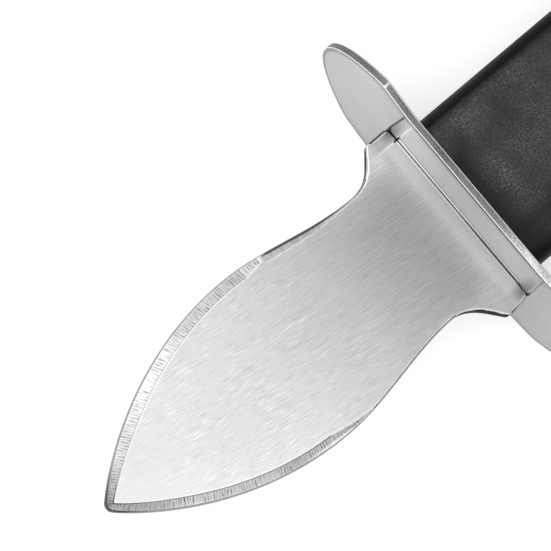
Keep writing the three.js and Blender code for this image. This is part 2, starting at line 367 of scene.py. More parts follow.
def brushed_face():
    """Steel brushed along the blade: long faint strokes, and on the leaf short ones in patches.

    The strokes are calmer at the tip. The near half is a little lighter, and the neck darker but less so
    at its sides and by the guard: painted light and shade. An ear is darker where it meets the guard, which
    is painted shade, and the far one's fold is a painted highlight that fades forwards. The near half has
    painted shade along the guard.
    """
    material, tree, shader = start_material("brushed_face", {"Metallic": 1.0})
    here = place(tree, "Object")
    x, y, _ = parts(tree, here)
    fine = grain(tree, here, long_stroke, 3.0, 0.6, stroke_turn)
    short = grain(tree, here, short_stroke, 1.0, 0.6, stroke_turn)
    stray = grain(tree, here, stray_stroke, 0.0, 0.5, stroke_turn)
    calm = grain(tree, here, calm_patch, 1.0, 0.5)
    cloudy = grain(tree, here, brushed_cloud, 1.0, 0.5)
    strokes = varied(tree, short, -0.048, 0.048)
    strokes = plus(tree, strokes, ranged(tree, stray, 0.66, 0.80, 0.0, 0.11))
    strokes = plus(tree, strokes, ranged(tree, stray, 0.20, 0.34, -0.08, 0.0))
    strokes = times(tree, strokes, ranged(tree, calm, 0.35, 0.65, 0.30, 1.20))
    leaf_only = ranged(tree, x, seat_x + leaf_strokes_start, seat_x + leaf_strokes_full, 0.0, 1.0)
    strokes = times(tree, strokes, leaf_only)
    strokes = times(tree, strokes, ranged(tree, x, tip_x - calm_tip_start, tip_x - calm_tip_full, 1.0, 0.50))
    strokes = plus(tree, strokes, varied(tree, fine, -0.025, 0.025))
    tone = plus(tree, strokes, varied(tree, cloudy, 0.454, 0.478))
    # The near half a little lighter: painted light.
    tone = times(tree, tone, ranged(tree, y, 0.001, 0.010, 1.0, 1.07))
    # The neck's dark band, lighter at its sides and by the guard: painted light and shade.
    neck = ranged(tree, x, seat_x + neck_dark_end, seat_x + neck_light_start, 0.82, 1.0)
    neck = plus(tree, neck, ranged(tree, x, seat_x + 0.0035, seat_x + 0.0060, 0.16, 0.0))
    sides = ranged(tree, y, -0.0115, -0.0060, 0.35, 0.0)
    sides = plus(tree, sides, ranged(tree, y, -0.0110, -0.0092, 0.25, 0.0))
    sides = plus(tree, sides, ranged(tree, y, 0.0085, 0.0105, 0.0, 0.20))
    sides = times(tree, sides, ranged(tree, x, seat_x + 0.0025, seat_x + 0.0040, 0.0, 1.0))
    sides = times(tree, sides, ranged(tree, x, seat_x + 0.010, seat_x + 0.017, 1.0, 0.0))
    neck = times(tree, neck, plus(tree, sides, 1.0))
    tone = times(tree, tone, neck)
    out = size_of(tree, y)
    # The far fold's bright line, fading forwards: painted highlight.
    fold_gap = size_of(tree, less(tree, out, tang_half + relief_width / 2))
    forwards = ranged(tree, x, seat_x + relief_depth, seat_x + fold_line_length, 0.28, 0.0)
    forwards = times(tree, forwards, by_side(tree, y, side_blend, 1.0, 0.1))
    fold = times(tree, ranged(tree, fold_gap, 0.00005, 0.00020, 1.0, 0.0), forwards)
    # The ears darker where they meet the guard: painted shade.
    behind = ranged(tree, x, seat_x, seat_x + ear_shade_length, 0.60, 0.0)
    on_ear = ranged(tree, out, tang_half - 0.0003, tang_half + 0.0009, 0.0, 1.0)
    shade = less(tree, 1.0, times(tree, behind, on_ear))
    tone = times(tree, plus(tree, tone, fold), shade)
    # The near half darker along the guard: painted shade in the seam.
    seam_shade = ranged(tree, x, seat_x + 0.00010, seat_x + 0.00028, 0.7, 0.0)
    seam_shade = times(tree, seam_shade, ranged(tree, y, 0.0, 0.005, 0.0, 1.0))
    tone = times(tree, tone, less(tree, 1.0, seam_shade))
    set_finish(tree, shader, tone, varied(tree, fine, 0.23, 0.30))
    relief(tree, shader, fine, 0.20, 0.00001)
    return material


def ground_bevel():
    """Steel with short grinding marks across the edge, deepest towards the face.

    Painted light and shade set its tone along the edge: darker at the tip, and on the near side lighter
    behind the tip, darker on the run-out and lighter at its end. It is darker in one stretch, and the near
    run-out has a bright border, and fades.
    """
    material, tree, shader = start_material("ground_bevel", {"Metallic": 1.0})
    here = place(tree, "UV")
    run, across, _ = parts(tree, here)
    marks = grain(tree, here, mark_size, 2.0, 0.6)
    broad = grain(tree, here, mark_drift, 1.0, 0.5)
    stray = varied(tree, grain(tree, here, mark_stray, 2.0, 0.6), -2.6, 2.6)
    phase = plus(tree, times(tree, run, 2 * np.pi / mark_pitch), stray)
    ticks = add_node(tree, "ShaderNodeMath", {0: phase}, operation="SINE").outputs["Value"]
    edge_place = size_of(tree, across)
    inner = ranged(tree, edge_place, 2.0, 2.6, 0.55, 1.0)
    depth = times(tree, inner, ranged(tree, broad, 0.35, 0.65, 0.5, 1.1))
    depth = times(tree, depth, ranged(tree, marks, 0.62, 0.40, 0.25, 1.0))
    dark = times(tree, ranged(tree, ticks, 0.1, 0.9, 0.0, 0.45), depth)
    along, beside, _ = parts(tree, place(tree, "Object"))
    far = by_side(tree, beside, narrow_blend, 1.0, 0.0)
    near = by_side(tree, beside, narrow_blend, 0.0, 1.0)
    tone = less(tree, ranged(tree, marks, 0.40, 0.70, 0.53, 0.64), dark)
    # Far side darker towards the tip; near side lighter behind the tip, darker at it and on the run-out,
    # lighter at the run-out's end: painted light and shade.
    far_tip = ranged(tree, along, tip_x - 0.0125, tip_x - 0.0080, 1.0, 0.76)
    far_tip = times(tree, far_tip, ranged(tree, along, tip_x - 0.0055, tip_x - 0.0005, 1.0, 0.50))
    far_tip = times(tree, far_tip, far)
    near_tip = ranged(tree, along, tip_x - 0.0085, tip_x - 0.0045, 1.23, 0.84)
    near_tip = times(tree, near_tip, ranged(tree, along, tip_x - 0.0325, tip_x - 0.0265, 0.68, 1.0))
    near_tip = times(tree, near_tip, ranged(tree, along, tip_x - 0.0357, tip_x - 0.0338, 1.6, 1.0))
    near_tip = times(tree, near_tip, near)
    tone = times(tree, tone, plus(tree, far_tip, near_tip))
    tone = times(tree, tone, ranged(tree, edge_place, 2.0, 2.25, 1.13, 1.0))
    border = ranged(tree, edge_place, 2.28, 2.42, 0.9, 0.0)
    border = times(tree, border, ranged(tree, along, tip_x - 0.0300, tip_x - 0.0240, 1.0, 0.0))
    border = times(tree, border, near)
    tone = times(tree, tone, plus(tree, border, 1.0))
    # Darker in one stretch.
    from_dark_stretch = size_of(tree, less(tree, along, tip_x - dark_stretch))
    tone = times(tree, tone, ranged(tree, from_dark_stretch, 0.001, 0.005, 0.80, 1.0))
    set_finish(tree, shader, tone, ranged(tree, marks, 0.35, 0.65, 0.36, 0.26))
    relief(tree, shader, marks, 0.35, 0.00002)
    return material


def blunt_edge():
    """The narrow whetted border of the edge and the broken edges of the sheet.

    Their dark tone is partly the steel's own and partly painted shade. Painted shade makes them darker at
    the tip, on the far shoulder and on the near run-out, and a painted highlight lighter on the near ear.
    """
    material, tree, shader = start_material("blunt_edge", {"Metallic": 1.0})
    x, y, _ = parts(tree, place(tree, "Object"))
    streaks = grain(tree, place(tree, "UV"), edge_streak, 2.0, 0.6)
    tone = varied(tree, streaks, 0.24, 0.36)
    # Darker at the tip, on the far shoulder and on the near run-out: painted shade.
    at_tip = ranged(tree, x, tip_x - 0.0045, tip_x - 0.0010, 1.0, 0.22)
    at_shoulder = ranged(tree, x, tip_x - far_bevel_end - 0.0008, tip_x - far_bevel_end, 0.25, 1.0)
    at_shoulder = joined(tree, "MAXIMUM", at_shoulder, by_side(tree, y, wide_blend, 0.0, 0.9))
    near_end = ranged(tree, x, tip_x - 0.0290, tip_x - 0.0220, 0.60, 1.0)
    near_end = joined(tree, "MAXIMUM", near_end, ranged(tree, x, tip_x - 0.0372, tip_x - 0.0360, 0.85, 0.0))
    near_end = joined(tree, "MAXIMUM", near_end, by_side(tree, y, wide_blend, 1.0, 0.0))
    tone = times(tree, tone, times(tree, at_tip, at_shoulder))
    tone = times(tree, tone, near_end)
    # Lighter on the near ear: painted highlight.
    ear_edge = ranged(tree, y, tang_half + 0.0005, ear_half - 0.0006, 0.0, 1.6)
    ear_edge = times(tree, ear_edge, ranged(tree, x, seat_x + 0.002, seat_x + 0.003, 1.0, 0.0))
    tone = times(tree, tone, plus(tree, ear_edge, 1.0))
    set_finish(tree, shader, tone, varied(tree, streaks, 0.36, 0.48))
    relief(tree, shader, streaks, 0.3, 0.00002)
    return material


def sheared_wall():
    """The wall that the die leaves: bright and smooth where it cut, dull below where the sheet tore.

    On the near side its dark torn band reaches higher, which is painted shade, and all of it darkens where
    it is seen along its surface.
    """
    values = {"Metallic": 1.0, "Specular Tint": (0.55, 0.55, 0.55, 1.0)}
    material, tree, shader = start_material("sheared_wall", values)
    here = place(tree, "UV")
    streaks = grain(tree, here, wall_streak, 2.0, 0.6)
    broad = grain(tree, here, wall_drift, 1.0, 0.5)
    height = plus(tree, parts(tree, here)["Y"], varied(tree, streaks, -0.15, 0.15))
    height = plus(tree, height, varied(tree, broad, -0.30, 0.30))
    beside = parts(tree, place(tree, "Object"))["Y"]
    # The near side's dark band reaches higher: painted shade.
    height = less(tree, height, by_side(tree, beside, wide_blend, 0.0, 0.70))
    cut = ranged(tree, height, 0.05, 0.30, 0.018, 0.58)
    set_finish(tree, shader, cut, ranged(tree, height, 0.05, 0.30, 0.50, 0.30))
    relief(tree, shader, streaks, 0.3, 0.00002)
    return material


def burnished_line_and_glint():
    """The bright rubbed line where an edge meets the face, quieter at the tip, and the tang's rubbed edge;
    on the guard's rim corners it is a painted highlight.
    """
    material, tree, shader = start_material("burnished_line_and_glint", {"Metallic": 1.0})
    here = place(tree, "Object")
    worn = grain(tree, here, rub_size, 2.0, 0.5)
    at_tip = ranged(tree, parts(tree, here)["X"], tip_x - 0.012, tip_x - 0.003, 1.0, 0.80)
    tone = times(tree, varied(tree, worn, 0.56, 0.70), at_tip)
    set_finish(tree, shader, tone, varied(tree, worn, 0.24, 0.34))
    return material


tip_centre = tip_x - tip_radius
tip_arc = arc((tip_centre, 0), tip_radius, 0, np.pi / 2 - tip_half_angle, tip_steps)
tip_way = np.array([-np.cos(tip_half_angle), np.sin(tip_half_angle)])
widest = np.array([tip_x - widest_from_tip, leaf_half])
leaf = bezier(tip_arc[-1], tip_arc[-1] + tip_pull * tip_way, widest + (widest_pull, 0), widest, leaf_steps)
flank_rise = ear_half - waist_half - waist_radius * (1 - np.cos(ear_flank_angle))
flank_run = flank_rise / np.tan(ear_flank_angle)
waist_x = seat_x + ear_length + flank_run + waist_radius * np.sin(ear_flank_angle)
shoulder = eased(widest, (waist_x, waist_half), shoulder_steps)
quarter = np.pi / 2
waist_centre = (waist_x, waist_half + waist_radius)
waist = arc(waist_centre, waist_radius, -quarter, -quarter - ear_flank_angle, waist_steps)
front_x = seat_x + ear_length - ear_corner * np.tan(ear_flank_angle / 2)
front_centre = (front_x, ear_half - ear_corner)
ear_front = arc(front_centre, ear_corner, quarter - ear_flank_angle, quarter, corner_steps)
rear_centre = (seat_x + ear_rear_corner, ear_half - ear_rear_corner)
ear_rear = arc(rear_centre, ear_rear_corner, quarter, 2 * quarter, corner_steps)
relief_centre = (seat_x + relief_depth - relief_width / 2, tang_half + relief_width / 2)
relief_end = arc(relief_centre, relief_width / 2, quarter, -quarter, relief_steps)
tang_side = grip_side(guard_rear)[1:]
stretches = [
    tip_arc,
    leaf[1:],
    shoulder[1:],
    waist[1:],
    ear_front,
    ear_rear,
    [(seat_x, tang_half + relief_width)],
    relief_end,
    tang_side,
]
ends = np.cumsum([len(stretch) for stretch in stretches])
half_outline = np.concatenate(stretches)
half_outline[-1, 1] = 0
outline = np.concatenate([half_outline, half_outline[-2:0:-1] * (1, -1)])
count = len(outline)
place_number = np.arange(count)
place_number = np.minimum(place_number, count - place_number)
near_side = outline[:, 1] > 0

in_relief = (place_number >= ends[6]) & (place_number < ends[7])
near_relief = in_relief & near_side
outline[near_relief, 0] = seat_x + near_relief_share * (outline[near_relief, 0] - seat_x)
from_seat = outline[:, 0] - seat_x
fullness = np.clip(from_seat / fullness_start, 0, 1)
fullness *= np.clip((waist_x - seat_x - from_seat) / fullness_fade, 0, 1)
fullness *= near_side & (place_number >= ends[2]) & (place_number < ends[5])
outline[:, 1] += near_ear_fullness * fullness * fullness * (3 - 2 * fullness)

from_tip = tip_x - outline[:, 0]
runout_end = np.where(near_side, near_bevel_end, far_bevel_end)
runout = np.where(near_side, near_bevel_runout, far_bevel_runout)
ground_share = np.clip((runout_end - from_tip) / runout, 0, 1)
narrowed = np.clip((far_bevel_end - from_tip) / far_bevel_narrowing, 0, 1)
ground_share *= np.where(near_side, 1, far_bevel_last_share + (1 - far_bevel_last_share) * narrowed)
is_ground = ground_share > 0
grown = np.clip(from_tip / bevel_growth, 0, 1)
full_bevel = np.where(near_side, near_bevel, far_bevel)
bevel = tip_bevel + (full_bevel - tip_bevel) * grown * (2 - grown)
full_step = np.where(near_side, near_step_width, far_step_width)
step_width = near_step_width + (full_step - near_step_width) * grown
on_leaf = place_number < ends[2]
on_flank = (place_number >= ends[2]) & (place_number < ends[4])
on_outer_edge = (place_number >= ends[4] - 1) & (place_number < ends[4] + outer_edge_points)
against_guard = (place_number >= ends[4]) & (place_number < ends[6])
on_tang = place_number >= ends[7] - 1
worn = np.clip((worn_end - from_tip) / worn_close, 0, 1) * (on_leaf & ~near_side & ~is_ground)
worn = worn * worn * (3 - 2 * worn)
ripple = np.sin(from_tip / long_ripple) + short_ripple_share * np.sin(from_tip / short_ripple)
narrowing = np.clip((worn_narrows - from_tip) / (worn_narrows - far_bevel_end), 0, 1)
facet_width = (worn_width * narrowing + worn_ripple * ripple) * worn
plain_round = edge_round + (shoulder_round - edge_round) * worn
along_flank = np.clip((place_number - ends[2]) / (len(waist) - 1), 0, 1)
flank_easing = np.where(near_side, near_flank_easing, far_flank_easing)
flank_rounds = edge_round + (flank_round - edge_round) * along_flank**flank_easing
rounds = [ear_outer_round, ear_rear_round, relief_round, flank_rounds]
rounded = np.select([on_outer_edge, against_guard, in_relief, on_flank], rounds, plain_round)

level = 0 * bevel
bevel_drop = sheet_half - edge_land / 2
least_width = micro_width + step_width
width = least_width + (bevel - least_width) * ground_share
bevel_slope = (bevel_drop - micro_drop - step_drop) / (bevel - least_width)
bevel_fall = bevel_slope * (width - least_width)
edge_drop = step_drop + bevel_fall + micro_drop
ground_offsets = np.stack([width, width - step_width, level + micro_width, level])
ground_drops = np.stack([level, level + step_drop, edge_drop - micro_drop, edge_drop])
round_offsets = rounded * (1 - np.sin(round_turn))[:, None]
round_offsets[0] += facet_width
offsets = np.where(is_ground, ground_offsets, round_offsets)
drops = np.where(is_ground, ground_drops, rounded * (1 - np.cos(round_turn))[:, None])
offsets = np.concatenate([offsets[:1] + crest_width, offsets])
drops = np.concatenate([drops[:1], drops])
offsets = np.concatenate([offsets, offsets[::-1]])
flank_start = np.clip((place_number - ends[2]) / taper_points, 0, 1) * (place_number < ends[4])
offsets[: len(offsets) // 2] += np.where(near_side, near_flank_taper, far_flank_taper) * flank_start
heights = np.concatenate([drops - sheet_half, sheet_half - drops[::-1]])
flat_rings = outline + offsets[:, :, None] * inward(outline)
past_fold = np.clip(np.abs(flat_rings[:, :, 1]) - tang_half - relief_width / 2, 0, None)
on_ear = (flat_rings[:, :, 0] > seat_x - crest_width) & (flat_rings[:, :, 0] < waist_x)
heights = heights * (1 - ear_coin_slope * past_fold * on_ear / sheet_half)
rings = np.concatenate([flat_rings, heights[:, :, None] + middle_z], axis=2)
ring_rows = np.arange(len(rings) * count).reshape(len(rings), count)

rivet_places = [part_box(f"rivet_tube_{place_name}") for place_name in ("front", "middle", "rear")]
rivet_xs = [(low.x + high.x) / 2 for low, high in rivet_places]
turns = np.linspace(0, 2 * np.pi, rivet_hole_steps, endpoint=False)


def holes(radius, levels):
    """Circles of this radius round each rivet at each level: x + r cos a, r sin a, z."""
    x = np.array(rivet_xs)[:, None, None] + radius * np.cos(turns)
    y = radius * np.sin(turns) + 0 * x
    z = np.array(levels)[:, None] + 0 * x
    return np.stack(np.broadcast_arrays(x, y, z), axis=3)


tang_holes = holes(rivet_hole_radius, [middle_z - sheet_half, middle_z + sheet_half])
hole_rows = ring_rows.size + np.arange(tang_holes[..., 0].size).reshape(tang_holes.shape[:3])
blade_points = np.concatenate([rings.reshape(-1, 3), tang_holes.reshape(-1, 3)])

far_fold = ends[3] - 1
near_fold = ends[2] + np.count_nonzero(outline[ends[2] : ends[4], 1] <= tang_half + relief_width / 2) - 1
fold_rear = ends[6] + len(relief_end) // 2
near_ear = np.arange(near_fold, fold_rear + 1)
far_ear = np.arange(count - fold_rear, count - far_fold + 1)
main_field = np.concatenate([
    np.arange(count - far_fold, count),
    np.arange(0, near_fold + 1),
    np.arange(fold_rear, count - fold_rear + 1),
])
blade_fields = []
along = lengths(outline)
strips, strip_maps = between(ring_rows, along, edge_rows)
ground_columns = is_ground | np.roll(is_ground, -1)
flank_columns = on_flank & np.roll(on_flank, -1)
worn_columns = (worn > 0) & ~ground_columns
ending_columns = ground_columns & (ground_share < 1)
waist_columns = ~near_side & (on_leaf | on_flank) & (along_flank < waist_line_share)
waist_columns &= ~ground_columns & ~worn_columns
plain_columns = ~ground_columns & ~flank_columns & ~worn_columns & ~waist_columns
lined_columns = on_leaf | on_outer_edge | (flank_columns & ~near_side)
for strip_numbers, columns, material_number in (
    ([2, 6], ground_columns, 1),
    ([3, 4, 5], ground_columns, 2),
    ([1, 7], ground_columns & ~ending_columns, 2),
    ([1, 7], ending_columns, 3),
    ([1, 2, 3, 5, 6, 7], plain_columns, 2),
    ([1, 2, 3, 5, 6, 7], flank_columns & ~waist_columns, 0),
    ([1, 7], waist_columns, 3),
    ([2, 3, 5, 6], waist_columns, 2),
    ([1, 7], worn_columns, 0),
    ([2, 3, 5, 6], worn_columns, 2),
    ([4], ~ground_columns & ~on_tang, 4),
    ([4], on_tang, 3),
    ([0, 8], lined_columns, 3),
    ([0, 8], ~lined_columns, 0),
):
    chosen = strips[strip_numbers][:, columns]
    blade_fields.append((chosen, strip_maps[strip_numbers][:, columns], material_number, True))
for row, hole_level, facing in ((ring_rows[0], 0, (0, 0, -1)), (ring_rows[-1], 1, (0, 0, 1))):
    main_loops = [row[main_field], *hole_rows[:, hole_level]]
    for loops in (main_loops, [row[near_ear]], [row[far_ear]]):
        face = filled(loops, blade_points, facing)
        blade_fields.append((face, blade_points[face][:, :, :2], 0, False))
for rows in hole_rows:
    hole_wall, hole_map = between(rows[::-1], np.linspace(0, 1, rivet_hole_steps + 1), np.array([0.0, 1.0]))
    blade_fields.append((hole_wall, hole_map, 4, True))

# The rubbed finish also paints the glint on the guard's rim corners.
rubbed = burnished_line_and_glint()
blade_finishes = [brushed_face(), ground_bevel(), blunt_edge(), rubbed, sheared_wall()]
blade = put_piece("leaf_blade", blade_points, blade_fields, blade_finishes)
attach(blade, "root")
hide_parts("blade")


# Guard
# An oval plate of polished stainless sheet with two long flats, stamped with a slot. It slides over the tang
# and is held between the blade's ears and the front ends of the scales.

guard_half = guard_high.y
guard_middle = (guard_low.z + guard_high.z) / 2
flat_rise = (guard_high.z - guard_low.z) / 2
flat_half = 0.01875
flat_corner = 0.0007
end_lean = np.radians(3.8)
bend_width = 0.0013
bend_shade_width = 0.00018
bend_start = (tang_half + ear_half - bend_width) / 2
end_steps = 48
flat_steps = 16
flat_corner_steps = 9
rim_front_steps = 5
rim_front_round = 0.00010
rim_rear_steps = np.array([0, 0.00012, 0.00028])
rim_rear_insets = np.array([0.00026, 0.00009, 0])
rim_shade_width = 0.00050
glint_width = 0.00034
glint_rise_share = 0.9
slot_clearance = 0.00013
slot_break = 0.00014
slot_line = 0.00055
slot_shade = 0.00085
slot_half = np.array([tang_half, sheet_half]) + slot_clearance
plate_scratch = (0.0025, 0.0024, 0.00028)
plate_cloud = (0.011, 0.011, 0.008)
rim_tear = (0.00030, 0.00022, 1.0)
rim_drift = (0.006, 0.003, 1.0)
border_wear = (0.0009, 0.0009, 0.0009)


def guard_outline():
    """An ellipse cut by two flats: (a cos t, b sin t) on the ends, their corners eased by quadratic curves.

    The flats are stepped as far as the bends, and the four quarters have the same number of points.
    """
    end_angle = np.arccos(flat_half / guard_half)
    oval_half = flat_rise / np.sin(end_angle)
    corner_turn = flat_corner / np.hypot(guard_half * np.sin(end_angle), oval_half * np.cos(end_angle))
    t = (end_angle - corner_turn) * (np.arange(end_steps) + 0.5) / (end_steps - 0.5)
    end = np.stack([guard_half * np.cos(t), oval_half * np.sin(t)], axis=1)
    corner = np.array([flat_half, flat_rise])
    on_flat = corner - (flat_corner, 0)
    s = np.linspace(0, 1, flat_corner_steps)[1:, None]
    round_corner = (1 - s) ** 2 * end[-1] + 2 * s * (1 - s) * corner + s**2 * on_flat
    flat = np.linspace(on_flat, (bend_start, flat_rise), flat_steps)[1:]
    quarter_run = np.concatenate([end, round_corner, flat])
    upper = np.concatenate([quarter_run, quarter_run[::-1] * (-1, 1)])
    return np.concatenate([upper, upper[::-1] * (1, -1)])


def leaned(points):
    """The plate with its ends bent back: x less tan(lean) times the way past the bend, which eases it in."""
    past = np.clip(np.abs(points[:, 1]) - bend_start, 0, None)
    way = np.where(past < bend_width, past**2 / (2 * bend_width), past - bend_width / 2)
    return points - np.tan(end_lean) * way[:, None] * (1, 0, 0)


def polished_plate():
    """Steel polished bright, with faint scratches and a slow unevenness; over the slot a painted highlight,
    then painted shade.

    Painted light makes it brighter between the bends, and painted shade makes a dark line along each bend
    and darkens it towards its flats.
    """
    material, tree, shader = start_material("polished_plate", {"Metallic": 1.0})
    here = place(tree, "Object")
    _, y, z = parts(tree, here)
    fine = grain(tree, here, plate_scratch, 2.0, 0.6)
    cloud = grain(tree, here, plate_cloud, 2.0, 0.5)
    off_middle = size_of(tree, less(tree, z, guard_middle))
    over_slot = less(tree, off_middle, slot_half[1] + slot_break)
    # A bright line over the slot, painted highlight, and a dark one beyond it, painted shade.
    line = ranged(tree, over_slot, slot_line - 0.0001, slot_line, 0.75, 0.0)
    shade_gap = size_of(tree, less(tree, over_slot, slot_shade))
    line = less(tree, line, ranged(tree, shade_gap, 0.0001, 0.00025, 0.45, 0.0))
    out = size_of(tree, y)
    line = times(tree, line, ranged(tree, out, tang_half - 0.0002, tang_half, 1.0, 0.0))
    tone = times(tree, varied(tree, cloud, 0.345, 0.395), plus(tree, line, 1.0))
    # Brighter between the bends, most on the far side: painted light.
    middle = ranged(tree, y, -0.0110, -0.0045, 0.48, 0.14)
    unbent = ranged(tree, out, bend_start, bend_start + bend_width, 1.0, 0.0)
    tone = times(tree, tone, plus(tree, times(tree, middle, unbent), 1.0))
    # A dark line along each bend, strongest on the far side: painted shade.
    bend_gap = size_of(tree, less(tree, out, bend_start + bend_width))
    bend_shade = ranged(tree, bend_gap, bend_shade_width / 2, bend_shade_width, 1.0, 0.0)
    bend_shade = times(tree, bend_shade, by_side(tree, y, side_blend, 0.55, 0.04))
    tone = times(tree, tone, less(tree, 1.0, bend_shade))
    # Darker towards the flats: painted shade.
    shade_by_rim = ranged(tree, off_middle, flat_rise - 0.0020, flat_rise - 0.0005, 1.0, 0.80)
    tone = times(tree, tone, shade_by_rim)
    set_finish(tree, shader, tone, varied(tree, fine, 0.10, 0.19))
    relief(tree, shader, plus(tree, cloud, times(tree, fine, 0.15)), 0.15, 0.00003)
    return material


def sheared_rim():
    """The rim as the die left it: a dull wall, torn and speckled, with painted light making it brighter
    towards the near end.
    """
    material, tree, shader = start_material("sheared_rim", {"Metallic": 1.0})
    here = place(tree, "UV")
    torn = grain(tree, here, rim_tear, 2.0, 0.65)
    broad = grain(tree, here, rim_drift, 1.0, 0.5)
    both = plus(tree, torn, times(tree, broad, 0.5))
    # Brighter towards the near end: painted light.
    near = ranged(tree, parts(tree, place(tree, "Object"))["Y"], 0.003, 0.0105, 1.0, 3.3)
    tone = times(tree, ranged(tree, both, 0.5, 1.0, 0.06, 0.27), near)
    set_finish(tree, shader, tone, ranged(tree, both, 0.5, 1.0, 0.36, 0.50))
    relief(tree, shader, torn, 0.6, 0.00004)
    return material


def rim_border_shade():
    """Painted shade on the front face's border by the rim, darkest between the bends, and on the rim's
    rear turn.
    """
    material, tree, shader = start_material("rim_border_shade", {"Metallic": 1.0})
    here = place(tree, "Object")
    worn = grain(tree, here, border_wear, 2.0, 0.5)
    bent = ranged(tree, size_of(tree, parts(tree, here)["Y"]), 0.010, 0.015, 1.0, 2.4)
    # Dark tone of the border and the rear turn: painted shade.
    tone = times(tree, varied(tree, worn, 0.07, 0.13), bent)
    set_finish(tree, shader, tone, varied(tree, worn, 0.30, 0.42))
    return material


rim = guard_outline()
rim_count = len(rim)
plate_half = (seat_x - guard_rear) / 2
plate_x = (seat_x + guard_rear) / 2
rim_bend = np.linspace(np.pi / 2, 0, rim_front_steps)
turn_in = rim_front_round * (1 - np.sin(rim_bend))
turn_x = plate_half - rim_front_round * (1 - np.cos(rim_bend))
rim_in = np.concatenate([rim_rear_insets, turn_in, [rim_front_round + rim_shade_width]])
rim_x = np.concatenate([rim_rear_steps - plate_half, turn_x, [plate_half]])


def plate_rings(outlines, levels):
    """Outlines in Y and Z set at these places along X."""
    x = np.broadcast_to(levels[:, None, None] + plate_x, (*outlines.shape[:2], 1))
    return np.concatenate([x, outlines + (0, guard_middle)], axis=2)


rim_rings = plate_rings(rim + rim_in[:, None, None] * inward(rim), rim_x)
rim_rows = np.arange(len(rim_x) * rim_count).reshape(len(rim_x), rim_count)

slot_widening = np.array([1, 0, 0, 1])[:, None] * slot_break
slot_x = np.array([-plate_half, slot_break - plate_half, plate_half - slot_break, plate_half])
slot_corners = np.array([(1, -1), (1, 1), (-1, 1), (-1, -1)])
slot_outlines = slot_corners * (slot_half + slot_widening)[:, None]
slot_rings = plate_rings(slot_outlines, slot_x)
slot_rows = rim_rows.size + np.arange(slot_rings[..., 0].size).reshape(slot_rings.shape[:2])

guard_points = leaned(np.concatenate([rim_rings.reshape(-1, 3), slot_rings.reshape(-1, 3)]))
rim_climb = np.cumsum(np.concatenate([[0], np.hypot(np.diff(rim_in), np.diff(rim_x))]))
rim_strips, rim_maps = between(rim_rows, lengths(rim), rim_climb)
slot_strips, slot_maps = between(slot_rows[::-1], lengths(slot_outlines[1]), slot_x)
# The rim wall at the flats' corners gets the bright rubbed finish: a painted glint.
rim_middles = np.abs(rim + np.roll(rim, -1, axis=0)) / 2
glint_y = flat_half - flat_corner / 2
painted_glints = np.abs(rim_middles[:, 0] - glint_y) < glint_width / 2
painted_glints &= rim_middles[:, 1] > flat_rise * glint_rise_share
guard_fields = [
    (rim_strips[:1], rim_maps[:1], 3, True),
    (rim_strips[1:2], rim_maps[1:2], 2, True),
    (rim_strips[2:3, ~painted_glints], rim_maps[2:3, ~painted_glints], 1, True),
    (rim_strips[2:3, painted_glints], rim_maps[2:3, painted_glints], 2, True),
    (rim_strips[3:-1], rim_maps[3:-1], 2, True),
    (rim_strips[-1:], rim_maps[-1:], 3, False),
    (slot_strips, slot_maps, 1, False),
]


def plate_face(rim_row, slot_row, facing):
    """A face of the plate: fields ruled across its two ends and a frame round the slot between the bends."""
    first, second, third, fourth = rim_row.reshape(4, -1)
    fields = []
    for side in ([first, fourth[::-1]], [third, second[::-1]]):
        ruled, _ = between(np.stack(side)[::facing], np.zeros(len(first) + 1), np.zeros(2), closed=False)
        fields.append((ruled, guard_points[ruled][..., 1:], 0, True))
    corners = np.array([first[-1], second[0], third[-1], fourth[0]])
    middle = filled([corners, slot_row], guard_points, (facing, 0, 0))
    fields.append((middle, guard_points[middle][..., 1:], 0, False))
    return fields


guard_fields += plate_face(rim_rows[0], slot_rows[0], -1) + plate_face(rim_rows[-1], slot_rows[-1], 1)
guard_finishes = [polished_plate(), sheared_rim(), rubbed, rim_border_shade()]
guard = put_piece("hand_guard", guard_points, guard_fields, guard_finishes)
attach(guard, "root")
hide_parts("guard")


# Handle scales
# Two halves moulded in black plastic with a fine grain. They lie on the tang's two faces and have its
# outline, are cut square behind the guard and rounded along their long edges, and three rivets clamp them.

grip_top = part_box("upper_scale")[1].z - middle_z
scale_round_width = 0.003
scale_round_height = 0.004
edge_highlight_depth = 0.0024
seat_hole_radius = 0.00335
seat_depth = 0.0015
scale_round_steps = 9
pebble_size = (0.00028, 0.00028, 0.00028)
patch_size = (0.0065, 0.0065, 0.0065)
speck_size = (0.00035, 0.00035, 0.00035)


